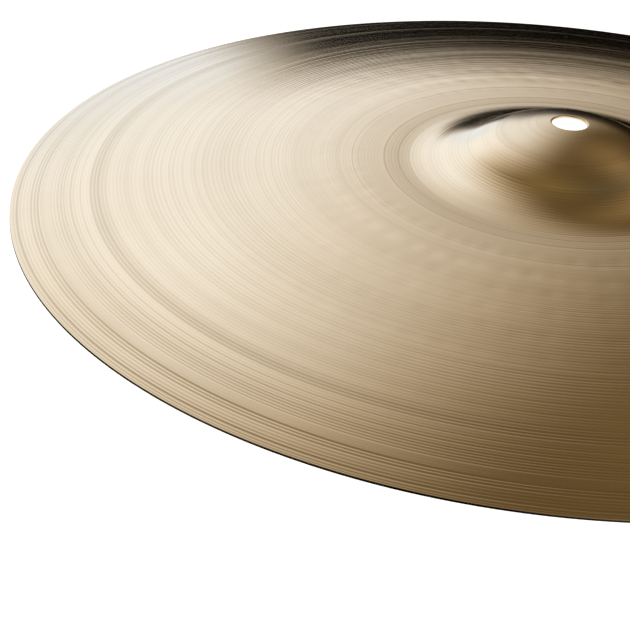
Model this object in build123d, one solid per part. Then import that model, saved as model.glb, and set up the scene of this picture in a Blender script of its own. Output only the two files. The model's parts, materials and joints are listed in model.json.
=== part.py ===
"""Crash cymbal: one thin shell of bell bronze, spun about Z, with a mounting hole in its bell.

Millimetres. The origin lies on the axis, level with the lowest edge of the rim, and +Z points up
through the bell. The upper surface is a chain of tangent arcs. Each arc runs between two stations,
and a station is a radius from the axis with the surface's downward slope there.
"""
from build123d import *
import os
from math import asin, cos, degrees, radians, sin, tan

# Driving dimensions
DIAMETER = 406.4  # a 16 inch crash
BORE_DIAMETER = 13.0
CROWN_RADIUS = 35.0  # where the domed top of the bell meets its hollow flank
NECK_RADIUS = 50.0
BELL_FOOT_RADIUS = 60.5  # where the bell ends and the bow begins
BOW_MIDDLE_RADIUS = 140.0
CROWN_SLOPE = 34.8  # degrees, the steepest place on the bell
NECK_SLOPE = 11.5
BELL_FOOT_SLOPE = 1.7
BOW_MIDDLE_SLOPE = 8.1
RIM_SLOPE = 17.8
BELL_THICKNESS = 1.2  # square to the surface, all over the bell
RIM_THICKNESS = 0.95  # the bow tapers evenly to this
BORE_TOP_ROUND = 0.5
BORE_UNDER_ROUND = 0.2
RIM_ROUND = 0.15

# The bell's dome is centred on the axis, so its own radius gives the slope at the hole's wall.
RIM_RADIUS = DIAMETER / 2
BORE_RADIUS = BORE_DIAMETER / 2
DOME_RADIUS = CROWN_RADIUS / sin(radians(CROWN_SLOPE))
BORE_SLOPE = degrees(asin(BORE_RADIUS / DOME_RADIUS))

STATIONS = [
    (BORE_RADIUS, BORE_SLOPE),
    (CROWN_RADIUS, CROWN_SLOPE),
    (NECK_RADIUS, NECK_SLOPE),
    (BELL_FOOT_RADIUS, BELL_FOOT_SLOPE),
    (BOW_MIDDLE_RADIUS, BOW_MIDDLE_SLOPE),
    (RIM_RADIUS, RIM_SLOPE),
]


def drop(inner, outer):
    """How far an arc between two stations falls: its chord has the mean of the two slopes."""
    run = outer[0] - inner[0]
    return run * tan(radians((inner[1] + outer[1]) / 2))


def halfway(inner, outer):
    """The station in the middle of an arc's turn."""
    slope = (inner[1] + outer[1]) / 2
    bend = (outer[0] - inner[0]) / (sin(radians(outer[1])) - sin(radians(inner[1])))
    radius = inner[0] + bend * (sin(radians(slope)) - sin(radians(inner[1])))
    return (radius, slope)


def thickness_below(station):
    """The shell's upright thickness at a station, from its thickness square to the surface."""
    radius, slope = station
    taper = max(0.0, (radius - BELL_FOOT_RADIUS) / (RIM_RADIUS - BELL_FOOT_RADIUS))
    square = BELL_THICKNESS + taper * (RIM_THICKNESS - BELL_THICKNESS)
    return square / cos(radians(slope))


def upper_points():
    """The chain's points, three to an arc, from the hole out to the rim, as (station, height)."""
    points = [(STATIONS[0], 0.0)]
    for inner, outer in zip(STATIONS, STATIONS[1:]):
        middle = halfway(inner, outer)
        height = points[-1][1]
        points.append((middle, height - drop(inner, middle)))
        points.append((outer, height - drop(inner, outer)))
    rim_station, rim_height = points[-1]
    lift = thickness_below(rim_station) - rim_height - rounding_rise()
    return [(station, height + lift) for station, height in points]


def rounding_rise():
    """How far the rounding lifts the rim's lowest point above the sharp corner it replaces."""
    slope = radians(RIM_SLOPE)
    return RIM_ROUND * ((1 + sin(slope)) / cos(slope) - 1)


def arc_chain(points):
    """Arcs through each run of three points, sharing their end points."""
    for start in range(0, len(points) - 2, 2):
        ThreePointArc(*points[start : start + 3])


def section():
    """Half of the shell's section, in the XZ plane, with its hole and rim edges rounded."""
    chain = upper_points()
    upper = [(station[0], height) for station, height in chain]
    under = [(station[0], height - thickness_below(station)) for station, height in chain]
    with BuildSketch(Plane.XZ) as sketch:
        with BuildLine():
            arc_chain(upper)
            arc_chain(under)
            Line(upper[0], under[0])
            Line(upper[-1], under[-1])
        make_face()
        for corner, size in (
            (upper[0], BORE_TOP_ROUND),
            (under[0], BORE_UNDER_ROUND),
            (upper[-1], RIM_ROUND),
            (under[-1], RIM_ROUND),
        ):
            fillet(sketch.vertices().sort_by_distance(corner)[0], size)
    return sketch.sketch


def cymbal():
    """The whole cymbal: its section turned once about the axis."""
    return revolve(section(), axis=Axis.Z)


os.makedirs("parts", exist_ok=True)
shell = cymbal()
export_step(shell, "parts/cymbal.step")

box = shell.bounding_box()
bore_wall = shell.edges().filter_by(Axis.Z).sort_by_distance((BORE_RADIUS, 0, box.max.Z))[0]
print("size", box.size, "lowest", round(box.min.Z, 4))
print("bore wall length", round(bore_wall.length, 3), "centre height", round(bore_wall.center().Z, 3))
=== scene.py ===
"""Crash cymbal: the visual model of the spun bronze shell, with its turned grooves and hammer marks."""
import bpy
import json
import numpy as np
from math import asin, cos, degrees, pi, radians, sin, tan
from mathutils import Matrix, Vector


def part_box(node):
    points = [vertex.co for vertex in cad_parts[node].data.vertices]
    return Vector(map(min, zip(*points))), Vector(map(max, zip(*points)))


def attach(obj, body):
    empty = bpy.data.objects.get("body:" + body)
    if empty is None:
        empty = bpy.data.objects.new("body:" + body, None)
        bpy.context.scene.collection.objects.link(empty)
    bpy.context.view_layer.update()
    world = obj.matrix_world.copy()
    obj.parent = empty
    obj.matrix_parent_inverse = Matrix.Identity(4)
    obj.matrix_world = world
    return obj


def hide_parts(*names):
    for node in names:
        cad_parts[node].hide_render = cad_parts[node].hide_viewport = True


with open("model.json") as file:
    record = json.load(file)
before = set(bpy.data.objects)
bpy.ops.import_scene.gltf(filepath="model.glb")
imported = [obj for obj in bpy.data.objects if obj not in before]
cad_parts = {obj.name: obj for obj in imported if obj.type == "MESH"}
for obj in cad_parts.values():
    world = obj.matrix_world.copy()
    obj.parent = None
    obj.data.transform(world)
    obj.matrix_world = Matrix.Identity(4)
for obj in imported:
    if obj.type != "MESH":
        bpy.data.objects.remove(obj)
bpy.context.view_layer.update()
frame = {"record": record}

MM = 0.001  # the shape is written in millimetres and built in metres

# ---------------------------------------------------------------------------------------------
# Shape: the CAD's own chain of tangent arcs, each between two (radius, downward slope) stations
# ---------------------------------------------------------------------------------------------
low_corner, high_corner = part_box("cymbal")
RIM_RADIUS = (high_corner.x - low_corner.x) / 2 / MM
BORE_RADIUS = frame["record"]["mounts"][0]["dims"]["r_mm"]
CAP_RADIUS = 25.6  # where the differently finished top of the bell ends
CROWN_RADIUS = 35.0
NECK_RADIUS = 50.0
BELL_FOOT_RADIUS = 60.5
BOW_MIDDLE_RADIUS = 140.0
CROWN_SLOPE = 34.8
NECK_SLOPE = 11.5
BELL_FOOT_SLOPE = 1.7
BOW_MIDDLE_SLOPE = 8.1
RIM_SLOPE = 17.8
DOME_RADIUS = CROWN_RADIUS / sin(radians(CROWN_SLOPE))
BORE_SLOPE = degrees(asin(BORE_RADIUS / DOME_RADIUS))
STATIONS = (
    (BORE_RADIUS, BORE_SLOPE),
    (CROWN_RADIUS, CROWN_SLOPE),
    (NECK_RADIUS, NECK_SLOPE),
    (BELL_FOOT_RADIUS, BELL_FOOT_SLOPE),
    (BOW_MIDDLE_RADIUS, BOW_MIDDLE_SLOPE),
    (RIM_RADIUS, RIM_SLOPE),
)
BELL_THICKNESS = 1.2  # square to the surface, all over the bell
RIM_THICKNESS = 0.95  # the bow tapers evenly to this
BORE_TOP_ROUND = 0.5
BORE_UNDER_ROUND = 0.2
RIM_ROUND = 0.15

SEGMENTS = 288  # round the axis
UPPER_STEPS = 4  # rings to a groove
UNDER_STEPS = 3
ROUND_STEPS = 5  # rings to a rounded edge
SEED = 16
TOLERANCE = 1e-6


def outline(radius):
    """The upper surface's height above the rim's upper edge, and its slope in radians."""
    radius = np.asarray(radius, float)
    height = np.zeros_like(radius)
    slope = np.zeros_like(radius)
    end_height = 0.0
    for inner, outer in reversed(list(zip(STATIONS, STATIONS[1:]))):
        start, end = np.radians((inner[1], outer[1]))
        bend = (outer[0] - inner[0]) / (sin(end) - sin(start))
        here = (radius >= inner[0] - TOLERANCE) & (radius <= outer[0] + TOLERANCE)
        slope[here] = np.arcsin(sin(end) - (outer[0] - radius[here]) / bend)
        height[here] = end_height + bend * (np.cos(slope[here]) - cos(end))
        end_height += (outer[0] - inner[0]) * tan((start + end) / 2)
    return height, slope


def thickness(radius):
    """The shell's thickness square to its surface."""
    taper = np.clip((radius - BELL_FOOT_RADIUS) / (RIM_RADIUS - BELL_FOOT_RADIUS), 0, 1)
    return BELL_THICKNESS + taper * (RIM_THICKNESS - BELL_THICKNESS)


# Turned zones, from the hole outward: (zone's outer radius, groove pitch, groove depth, dullness).
# Dullness runs from 0, where the lathe tool left the metal bright, to 1.
UPPER_ZONES = (
    (12.0, 1.1, 0.006, 0.20),
    (CAP_RADIUS, 1.6, 0.006, 0.25),
    (34.0, 1.3, 0.012, 0.0),
    (50.0, 1.2, 0.026, 0.0),
    (56.8, 1.25, 0.020, 0.1),
    (67.0, 1.35, 0.016, 0.45),
    (78.0, 1.22, 0.014, 0.3),
    (104.0, 1.22, 0.016, 0.15),
    (120.0, 1.35, 0.022, 0.05),
    (142.0, 1.52, 0.032, 0.1),
    (158.0, 1.52, 0.040, 0.0),
    (170.0, 1.36, 0.040, 0.1),
    (174.5, 1.36, 0.062, 0.1),
    (188.5, 1.16, 0.058, 0.0),
    (192.0, 1.2, 0.008, 0.2),
    (RIM_RADIUS, 1.28, 0.095, 0.0),
)
UNDER_ZONES = (
    (34.0, 1.8, 0.006, 0.2),
    (60.0, 1.7, 0.014, 0.4),
    (150.0, 1.9, 0.020, 0.3),
    (RIM_RADIUS, 1.6, 0.026, 0.2),
)
SINGLE_CUTS = (CAP_RADIUS, 56.8, 61.5, 67.0, 78.0)  # radii where one groove is cut deeper
SINGLE_CUT_DEPTH = 0.02
SHORTEST_GROOVE = 0.6  # a shorter last one joins its neighbour
GROOVE_SHADE_AND_DULLNESS = 6.0  # painted shade: how much darker a groove's bottom is coloured than its ridges, per mm of depth, and how much rougher it is made
PITCH_SPREAD = 0.12  # how far a groove's pitch may stray, as a share of it
DEPTH_SPREAD = 0.45  # the same for its depth
DULLNESS_SPREAD = 0.06  # and for its dullness, as an amount
EDGE_DULLNESS = 0.4  # on the rim's face and the hole's wall
DULLNESS_AND_SHADE = "dullness_and_groove_shade"  # the name of the mesh attribute, which holds the dullness and the grooves' painted shade


def turned_rings(zones, start, end, steps, rng, cuts=()):
    """Ring radii from start to end, with how deep the turning has cut at each, and how far each is
    darkened and roughened: by its zone's dullness, and at groove bottoms by painted shade.
    """
    radii, depths, dullness_and_groove_shade = [], [], []
    edge = start
    while edge < end - SHORTEST_GROOVE:
        pitch, depth, dull_and_shade = next(zone[1:] for zone in zones if edge < zone[0] + TOLERANCE)
        width = pitch * (1 + rng.uniform(-PITCH_SPREAD, PITCH_SPREAD))
        if edge + width > end - SHORTEST_GROOVE:
            width = end - edge
        depth *= 1 + rng.uniform(-DEPTH_SPREAD, DEPTH_SPREAD)
        dull_and_shade += rng.uniform(-DULLNESS_SPREAD, DULLNESS_SPREAD)
        if any(edge <= cut < edge + width for cut in cuts):
            depth += SINGLE_CUT_DEPTH
        for step in range(steps):
            across = step / steps
            share = 1 - (2 * across - 1) ** 2
            radii.append(edge + width * across)
            depths.append(depth * share)
            # painted shade: a groove's bottom is coloured darker, and made rougher, the deeper it is
            # cut
            dullness_and_groove_shade.append(dull_and_shade + GROOVE_SHADE_AND_DULLNESS * depth * share)
        edge += width
    radii.append(end)
    depths.append(0.0)
    dullness_and_groove_shade.append(dull_and_shade)
    return np.array(radii), np.array(depths), np.array(dullness_and_groove_shade)


# Hammer marks: rows round the bow, as (radius, marks in the row, depth)
HAMMER_ROWS = (
    (77.0, 64, 0.060),
    (89.0, 64, 0.060),
    (99.0, 64, 0.050),
    (111.0, 68, 0.040),
    (124.0, 72, 0.036),
    (137.0, 76, 0.034),
    (150.0, 80, 0.026),
    (163.0, 84, 0.018),
)
MARK_LENGTH = 3.2  # half its length, out from the axis
MARK_WIDTH = 2.4  # half its width, round the row
MARK_SCATTER = 1.5  # how far a mark strays from its row
MARK_DRIFT = 0.2  # how far it strays round the row, as a share of the spacing
FAINTEST_MARK = 0.3  # as a share of the row's depth
MARK_REACH = 3  # where a mark has faded out, in half lengths and half widths


def hammered(radius, angle, rng):
    """How deep the hammer has pressed the surface at each radius (down) and angle (across)."""
    depth = np.zeros((len(radius), len(angle)))
    for row_radius, count, row_depth in HAMMER_ROWS:
        for mark in range(count):
            place = 2 * pi * (mark + rng.uniform(-MARK_DRIFT, MARK_DRIFT)) / count
            out = row_radius + rng.uniform(-MARK_SCATTER, MARK_SCATTER)
            strength = row_depth * rng.uniform(FAINTEST_MARK, 1)
            along = (radius - out) / MARK_LENGTH
            turn = (angle - place + pi) % (2 * pi) - pi
            across = turn * out / MARK_WIDTH
            near_r = np.abs(along) < MARK_REACH
            near_a = np.abs(across) < MARK_REACH
            bump = np.exp(-along[near_r] ** 2)[:, None] * np.exp(-across[near_a] ** 2)[None]
            depth[np.ix_(near_r, near_a)] += strength * bump
    return depth


def corner_reach(before, after, size):
    """How far along the sides of a corner its rounding starts."""
    return size * tan((before - after) / 2)


def rounded_corner(corner, before, after, size):
    """Points on the arc that rounds a corner of the section, where the outline turns clockwise.

    The corner is (radius, height). The headings before and after it are in radians.
    """
    start = corner - corner_reach(before, after, size) * np.array((cos(before), sin(before)))
    centre = start + size * np.array((sin(before), -cos(before)))
    headings = np.linspace(before, after, ROUND_STEPS)[:, None]
    return centre + size * np.hstack((-np.sin(headings), np.cos(headings)))


def upright_wall(radius, headings, rounds):
    """Points down the rim's face, or up the hole's wall, with both edges rounded.

    There are three headings, in radians: into the wall, along it and out of it.
    """
    height, slope = outline([radius])
    top = np.array((radius, height[0]))
    foot = top - (0, (thickness(radius) / np.cos(slope))[0])
    corners = (top, foot) if sin(headings[1]) < 0 else (foot, top)
    first = rounded_corner(corners[0], headings[0], headings[1], rounds[0])
    second = rounded_corner(corners[1], headings[1], headings[2], rounds[1])
    return np.vstack((first[1:], second[:-1]))


def build_cymbal():
    """The shell as one closed mesh: turned and hammered upper side, rim, turned underside, hole."""
    rng = np.random.default_rng(SEED)
    angle = np.arange(SEGMENTS) * 2 * pi / SEGMENTS
    bore_slope = radians(BORE_SLOPE)
    rim_slope = radians(RIM_SLOPE)
    # Headings along the section, clockwise from the upper side: out, down, in, up and out again.
    over_rim, down_rim, under_rim = -rim_slope, -pi / 2, -pi - rim_slope
    under_bore, up_bore, over_bore = -pi - bore_slope, -3 * pi / 2, -2 * pi - bore_slope

    first = BORE_RADIUS + corner_reach(up_bore, over_bore, BORE_TOP_ROUND) * cos(bore_slope)
    last = RIM_RADIUS - corner_reach(over_rim, down_rim, RIM_ROUND) * cos(rim_slope)
    radius, cut, upper_dull_and_shade = turned_rings(UPPER_ZONES, first, last, UPPER_STEPS, rng, SINGLE_CUTS)
    height, slope = outline(radius)
    deep = cut[:, None] + hammered(radius, angle, rng)
    upper_r = radius[:, None] - deep * np.sin(slope)[:, None]
    upper_z = height[:, None] - deep * np.cos(slope)[:, None]

    first = BORE_RADIUS + corner_reach(under_bore, up_bore, BORE_UNDER_ROUND) * cos(bore_slope)
    last = RIM_RADIUS - corner_reach(down_rim, under_rim, RIM_ROUND) * cos(rim_slope)
    radius, cut, under_dull_and_shade = turned_rings(UNDER_ZONES, first, last, UNDER_STEPS, rng)
    height, slope = outline(radius)
    under_r = radius + cut * np.sin(slope)
    under_z = height - thickness(radius) / np.cos(slope) + cut * np.cos(slope)

    rim = upright_wall(RIM_RADIUS, (over_rim, down_rim, under_rim), (RIM_ROUND, RIM_ROUND))
    bore = upright_wall(
        BORE_RADIUS, (under_bore, up_bore, over_bore), (BORE_UNDER_ROUND, BORE_TOP_ROUND)
    )
    around = np.ones(SEGMENTS)
    ring_r = np.vstack((
        upper_r,
        np.outer(rim[:, 0], around),
        np.outer(under_r[::-1], around),
        np.outer(bore[:, 0], around),
    ))
    ring_z = np.vstack((
        upper_z,
        np.outer(rim[:, 1], around),
        np.outer(under_z[::-1], around),
        np.outer(bore[:, 1], around),
    ))
    # each ring's dullness, with the grooves' painted shade in it
    dull_and_shade = np.concatenate((
        upper_dull_and_shade,
        np.full(len(rim), EDGE_DULLNESS),
        under_dull_and_shade[::-1],
        np.full(len(bore), EDGE_DULLNESS),
    ))
    ring_z -= ring_z.min()
    points = np.stack((ring_r * np.cos(angle), ring_r * np.sin(angle), ring_z), -1)

    rings = len(ring_r)
    this_ring = np.arange(rings)[:, None] * SEGMENTS
    next_ring = (np.arange(rings)[:, None] + 1) % rings * SEGMENTS
    here = np.arange(SEGMENTS)[None]
    beside = (here + 1) % SEGMENTS
    quads = np.stack((this_ring + here, next_ring + here, next_ring + beside, this_ring + beside), -1)
    mesh = bpy.data.meshes.new("cymbal_shell")
    mesh.from_pydata((points.reshape(-1, 3) * MM).tolist(), [], quads.reshape(-1, 4).tolist())
    mesh.shade_smooth()
    dullness_and_groove_shade = mesh.attributes.new(DULLNESS_AND_SHADE, "FLOAT", "POINT")
    dullness_and_groove_shade.data.foreach_set("value", np.repeat(dull_and_shade, SEGMENTS).astype(np.float32))
    shell = bpy.data.objects.new("cymbal_shell", mesh)
    bpy.context.collection.objects.link(shell)
    return shell


# ---------------------------------------------------------------------------------------------
# Material
# ---------------------------------------------------------------------------------------------
BRONZE = (0.88, 0.76, 0.57)
# the darker bronze that the dullness and the grooves' painted shade mix in
DULL_SHADED_BRONZE = (0.60, 0.49, 0.33)
BRIGHT_ROUGHNESS = 0.115
DULL_ROUGHNESS = 0.24
STRETCH = 0.5  # how far highlights are drawn out by the turning
CAP_ROUGHNESS = 0.07  # added on the bell's cap
CAP_FADE = 1.0  # millimetres over which it fades out
NOISE_SPAN = (0.3, 0.7)  # the middle of a noise's range, stretched over its whole effect
BAND_SCALE = 160.0  # per metre
BAND_DETAIL = 3.0
BAND_DULLNESS = 0.08
CLOUD_SCALE = 22.0
CLOUD_DETAIL = 4.0
CLOUD_DULLNESS = 0.07


def link(tree, source, output, target, slot):
    """Join one node's output to another node's input."""
    tree.links.new(source.outputs[output], target.inputs[slot])


def map_range(tree, source, output, before, after, smooth=False):
    """A node that carries one range of values over to another."""
    node = tree.nodes.new("ShaderNodeMapRange")
    node.interpolation_type = "SMOOTHSTEP" if smooth else "LINEAR"
    for slot, value in zip(("From Min", "From Max", "To Min", "To Max"), (*before, *after)):
        node.inputs[slot].default_value = value
    link(tree, source, output, node, "Value")
    return node


def maths(tree, operation, *sources):
    """A maths node fed by (node, output) pairs."""
    node = tree.nodes.new("ShaderNodeMath")
    node.operation = operation
    for slot, (source, output) in enumerate(sources):
        link(tree, source, output, node, slot)
    return node


def bronze_material():
    """Lathed bell bronze: rougher in its grooves, whose bottoms are darkened with painted shade, and
    duller on some bands, with faint smears and clouds.
    """
    material = bpy.data.materials.new("lathed_bronze")
    material.use_nodes = True
    tree = material.node_tree
    shader = tree.nodes["Principled BSDF"]
    shader.inputs["Metallic"].default_value = 1.0
    shader.inputs["Anisotropic"].default_value = STRETCH
    tangent = tree.nodes.new("ShaderNodeTangent")
    tangent.direction_type = "RADIAL"
    tangent.axis = "Z"
    link(tree, tangent, "Tangent", shader, "Tangent")

    place = tree.nodes.new("ShaderNodeTexCoord")
    parts = tree.nodes.new("ShaderNodeSeparateXYZ")
    link(tree, place, "Object", parts, 0)
    flat = tree.nodes.new("ShaderNodeCombineXYZ")
    link(tree, parts, "X", flat, "X")
    link(tree, parts, "Y", flat, "Y")
    radius = tree.nodes.new("ShaderNodeVectorMath")
    radius.operation = "LENGTH"
    link(tree, flat, 0, radius, 0)

    # Bands from one pass of the lathe tool to the next, as noise along the radius alone
    bands = tree.nodes.new("ShaderNodeTexNoise")
    bands.noise_dimensions = "1D"
    bands.inputs["Scale"].default_value = BAND_SCALE
    bands.inputs["Detail"].default_value = BAND_DETAIL
    link(tree, radius, "Value", bands, "W")
    band_dull = map_range(tree, bands, "Fac", NOISE_SPAN, (-BAND_DULLNESS, BAND_DULLNESS))
    # Clouds of handling and polish
    clouds = tree.nodes.new("ShaderNodeTexNoise")
    clouds.inputs["Scale"].default_value = CLOUD_SCALE
    clouds.inputs["Detail"].default_value = CLOUD_DETAIL
    link(tree, place, "Object", clouds, "Vector")
    cloud_dull = map_range(tree, clouds, "Fac", NOISE_SPAN, (-CLOUD_DULLNESS, CLOUD_DULLNESS))
    # The turning's dullness, with painted shade at the groove bottoms
    turned = tree.nodes.new("ShaderNodeAttribute")
    turned.attribute_name = DULLNESS_AND_SHADE
    uneven = maths(tree, "ADD", (band_dull, 0), (cloud_dull, 0))
    dull_and_shade = maths(tree, "ADD", (turned, "Fac"), (uneven, 0))
    dull_and_shade.use_clamp = True

    # Colour: the dullness and the grooves' painted shade mix in the darker bronze
    colour = tree.nodes.new("ShaderNodeMix")
    colour.data_type = "RGBA"
    bright_slot, dull_shaded_slot = [slot for slot in colour.inputs if slot.type == "RGBA"]
    bright_slot.default_value = (*BRONZE, 1)
    dull_shaded_slot.default_value = (*DULL_SHADED_BRONZE, 1)
    link(tree, dull_and_shade, 0, colour, 0)
    mixed = next(slot for slot in colour.outputs if slot.type == "RGBA")
    tree.links.new(mixed, shader.inputs["Base Color"])

    blur = map_range(tree, dull_and_shade, 0, (0, 1), (BRIGHT_ROUGHNESS, DULL_ROUGHNESS))
    cap_edge = (CAP_RADIUS * MM, (CAP_RADIUS + CAP_FADE) * MM)
    cap_blur = map_range(tree, radius, "Value", cap_edge, (CAP_ROUGHNESS, 0))
    roughness = maths(tree, "ADD", (blur, 0), (cap_blur, 0))
    link(tree, roughness, 0, shader, "Roughness")
    return material


shell = build_cymbal()
shell.data.materials.append(bronze_material())
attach(shell, "root")
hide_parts("cymbal")

# ---------------------------------------------------------------------------------------------
# Floor, light and camera
# ---------------------------------------------------------------------------------------------
FLOOR_DROP = 0.30  # the cymbal hangs this far above the floor
FLOOR_SIZE = 12.0
FLOOR_SHADE = 0.9
FLOOR_ROUGHNESS = 0.9
FLOOR_GLOW = 0.95


def pale_floor():
    """A big pale square below the cymbal, bright enough to meet the white surroundings."""
    mesh = bpy.data.meshes.new("floor")
    half = FLOOR_SIZE / 2
    corners = [(-half, -half, 0), (half, -half, 0), (half, half, 0), (-half, half, 0)]
    mesh.from_pydata(corners, [], [(0, 1, 2, 3)])
    floor = bpy.data.objects.new("floor", mesh)
    floor.location.z = -FLOOR_DROP
    bpy.context.collection.objects.link(floor)
    material = bpy.data.materials.new("floor_white")
    material.use_nodes = True
    shader = material.node_tree.nodes["Principled BSDF"]
    shader.inputs["Base Color"].default_value = (FLOOR_SHADE, FLOOR_SHADE, FLOOR_SHADE, 1)
    shader.inputs["Roughness"].default_value = FLOOR_ROUGHNESS
    shader.inputs["Emission Color"].default_value = (1, 1, 1, 1)
    shader.inputs["Emission Strength"].default_value = FLOOR_GLOW
    floor.data.materials.append(material)
    floor.visible_glossy = False


def direction(azimuth, elevation):
    """The unit vector toward an azimuth (from +Y towards -X) and an elevation, in degrees."""
    turn, lift = radians(azimuth), radians(elevation)
    return Vector((-sin(turn) * cos(lift), cos(turn) * cos(lift), sin(lift)))


HOLE_LIGHT_HEIGHT = 0.014
HOLE_LIGHT_SIZE = 0.15
HOLE_LIGHT_BRIGHTNESS = 1.2  # white is 1


def hole_light():
    """A panel under the bell, facing up, that whitens the wall of the hole."""
    data = bpy.data.lights.new("hole_light", "AREA")
    data.shape = "DISK"
    data.size = HOLE_LIGHT_SIZE
    data.energy = HOLE_LIGHT_BRIGHTNESS * pi * pi * (HOLE_LIGHT_SIZE / 2) ** 2
    light = bpy.data.objects.new("hole_light", data)
    light.location.z = HOLE_LIGHT_HEIGHT
    light.rotation_euler.x = pi
    light.visible_camera = False
    bpy.context.collection.objects.link(light)


# The wall of light is the region on the far side of two slanting straight edges. Each edge is
# given by the direction square to it, on its dark side, and by the angles from the edge at which
# the wall starts to show and is full.
RIGHT_EDGE = (-105, 16)  # azimuth, elevation
RIGHT_EDGE_SOFTNESS = (-12.5, 15)
NEAR_EDGE = (150, 24)
NEAR_EDGE_SOFTNESS = (-33, 19)
FLAG_SIDE = (-84.5, 0)  # a black flag hides the wall's low right corner
FLAG_SIDE_SOFTNESS = (-2.5, 2.5)
FLAG_TOP_SOFTNESS = (9, 16)  # by elevation
WALL_FOOT_SOFTNESS = (-20, -6)  # by elevation
HORIZON_SOFTNESS = (6, 16)  # where the room's light starts, by elevation
WALL_CORE = (0.92, 1.00, 1.13)  # the wall's colour where it is full
WALL_RIM = (1.08, 0.90, 0.65)  # and where it fades out
ROOM_LIGHT = (0.150, 0.096, 0.036)
ROOM_FALL = 0.55  # how much dimmer the room is at the right
ROOM_FALL_SPAN = (-0.6, 0.6)  # from where to where it dims, along X
GLOWS = (  # azimuth and elevation, colour, tightness; the last three light the far sides
    ((158, 60), (0.15, 0.112, 0.05), 8),
    ((-42, 48), (0.20, 0.14, 0.07), 25),
    ((-142, 16), (0.95, 0.87, 0.74), 8),
    ((-105, 14), (0.50, 0.46, 0.40), 9),
    ((104, 12), (0.80, 0.74, 0.63), 12),
)


def colour_scale(tree, colour, source, output=0):
    """A node giving a colour times a factor."""
    node = tree.nodes.new("ShaderNodeVectorMath")
    node.operation = "SCALE"
    node.inputs[0].default_value = colour
    link(tree, source, output, node, "Scale")
    return node


def colour_sum(tree, first, second):
    """A node that adds two nodes' colours."""
    node = tree.nodes.new("ShaderNodeVectorMath")
    link(tree, first, 0, node, 0)
    link(tree, second, 0, node, 1)
    return node


def facing(tree, way, azimuth, elevation):
    """A node giving how squarely each direction faces one azimuth and elevation, from -1 to 1."""
    node = tree.nodes.new("ShaderNodeVectorMath")
    node.operation = "DOT_PRODUCT"
    node.inputs[1].default_value = direction(azimuth, elevation)
    link(tree, way, "Generated", node, 0)
    return node


def wall_edge(tree, way, place, softness):
    """A node that is 0 on the dark side of one straight edge of the wall, and 1 inside it."""
    side = facing(tree, way, *place)
    inside = maths(tree, "ARCSINE", (side, "Value"))
    start, full = np.radians(softness)
    return map_range(tree, inside, 0, (-start, -full), (0, 1), smooth=True)


def studio_world():
    """A big wall of light to the left, a dim warm room and a few glows, with darkness below."""
    world = bpy.data.worlds.new("studio")
    bpy.context.scene.world = world
    world.use_nodes = True
    tree = world.node_tree
    tree.nodes.clear()
    way = tree.nodes.new("ShaderNodeTexCoord")
    parts = tree.nodes.new("ShaderNodeSeparateXYZ")
    link(tree, way, "Generated", parts, 0)
    elevation = maths(tree, "ARCSINE", (parts, "Z"))
    beside_flag = wall_edge(tree, way, FLAG_SIDE, FLAG_SIDE_SOFTNESS)
    over_flag = map_range(tree, elevation, 0, np.radians(FLAG_TOP_SOFTNESS), (0, 1), smooth=True)
    wall = maths(tree, "MAXIMUM", (beside_flag, 0), (over_flag, 0))
    above_foot = map_range(tree, elevation, 0, np.radians(WALL_FOOT_SOFTNESS), (0, 1), smooth=True)
    right = wall_edge(tree, way, RIGHT_EDGE, RIGHT_EDGE_SOFTNESS)
    near = wall_edge(tree, way, NEAR_EDGE, NEAR_EDGE_SOFTNESS)
    for edge in (above_foot, right, near):
        wall = maths(tree, "MULTIPLY", (wall, 0), (edge, 0))
    wall_square = maths(tree, "MULTIPLY", (wall, 0), (wall, 0))
    core = [full - rim for full, rim in zip(WALL_CORE, WALL_RIM)]
    wall_light = colour_sum(
        tree, colour_scale(tree, WALL_RIM, wall), colour_scale(tree, core, wall_square)
    )
    above = map_range(tree, elevation, 0, np.radians(HORIZON_SOFTNESS), (0, 1), smooth=True)
    fall = map_range(tree, parts, "X", ROOM_FALL_SPAN, (1, 1 - ROOM_FALL), smooth=True)
    room = maths(tree, "MULTIPLY", (above, 0), (fall, 0))
    all_light = colour_sum(tree, wall_light, colour_scale(tree, ROOM_LIGHT, room))
    for place, colour, tightness in GLOWS:
        toward = facing(tree, way, *place)
        spread = map_range(tree, toward, "Value", (0, 1), (-tightness, 0))
        glow = maths(tree, "EXPONENT", (spread, 0))
        all_light = colour_sum(tree, all_light, colour_scale(tree, colour, glow))
    around = tree.nodes.new("ShaderNodeBackground")
    link(tree, all_light, 0, around, "Color")
    seen = tree.nodes.new("ShaderNodeBackground")
    seen.inputs["Color"].default_value = (1, 1, 1, 1)
    path = tree.nodes.new("ShaderNodeLightPath")
    mix = tree.nodes.new("ShaderNodeMixShader")
    output = tree.nodes.new("ShaderNodeOutputWorld")
    link(tree, path, "Is Camera Ray", mix, 0)
    link(tree, around, 0, mix, 1)
    link(tree, seen, 0, mix, 2)
    link(tree, mix, 0, output, 0)


CAMERA_ELEVATION = 28.25
CAMERA_ROLL = 4.23
CAMERA_LENS = 131.4  # millimetres, as the sensor is
CAMERA_SENSOR = 36.0
CAMERA_NEAREST = 0.01
CAMERA_PLACE = (-0.0878, -0.7777, 0.3709)


def photo_camera():
    """A long lens that looks along +Y and down at the cymbal, rolled a little."""
    data = bpy.data.cameras.new("camera")
    data.lens = CAMERA_LENS
    data.sensor_width = CAMERA_SENSOR
    data.clip_start = CAMERA_NEAREST
    camera = bpy.data.objects.new("camera", data)
    tilt = Matrix.Rotation(radians(90 - CAMERA_ELEVATION), 4, "X")
    roll = Matrix.Rotation(radians(CAMERA_ROLL), 4, "Z")
    camera.matrix_world = Matrix.Translation(CAMERA_PLACE) @ tilt @ roll
    bpy.context.collection.objects.link(camera)
    bpy.context.scene.camera = camera


pale_floor()
hole_light()
studio_world()
photo_camera()
bpy.context.scene.view_settings.view_transform = "Standard"
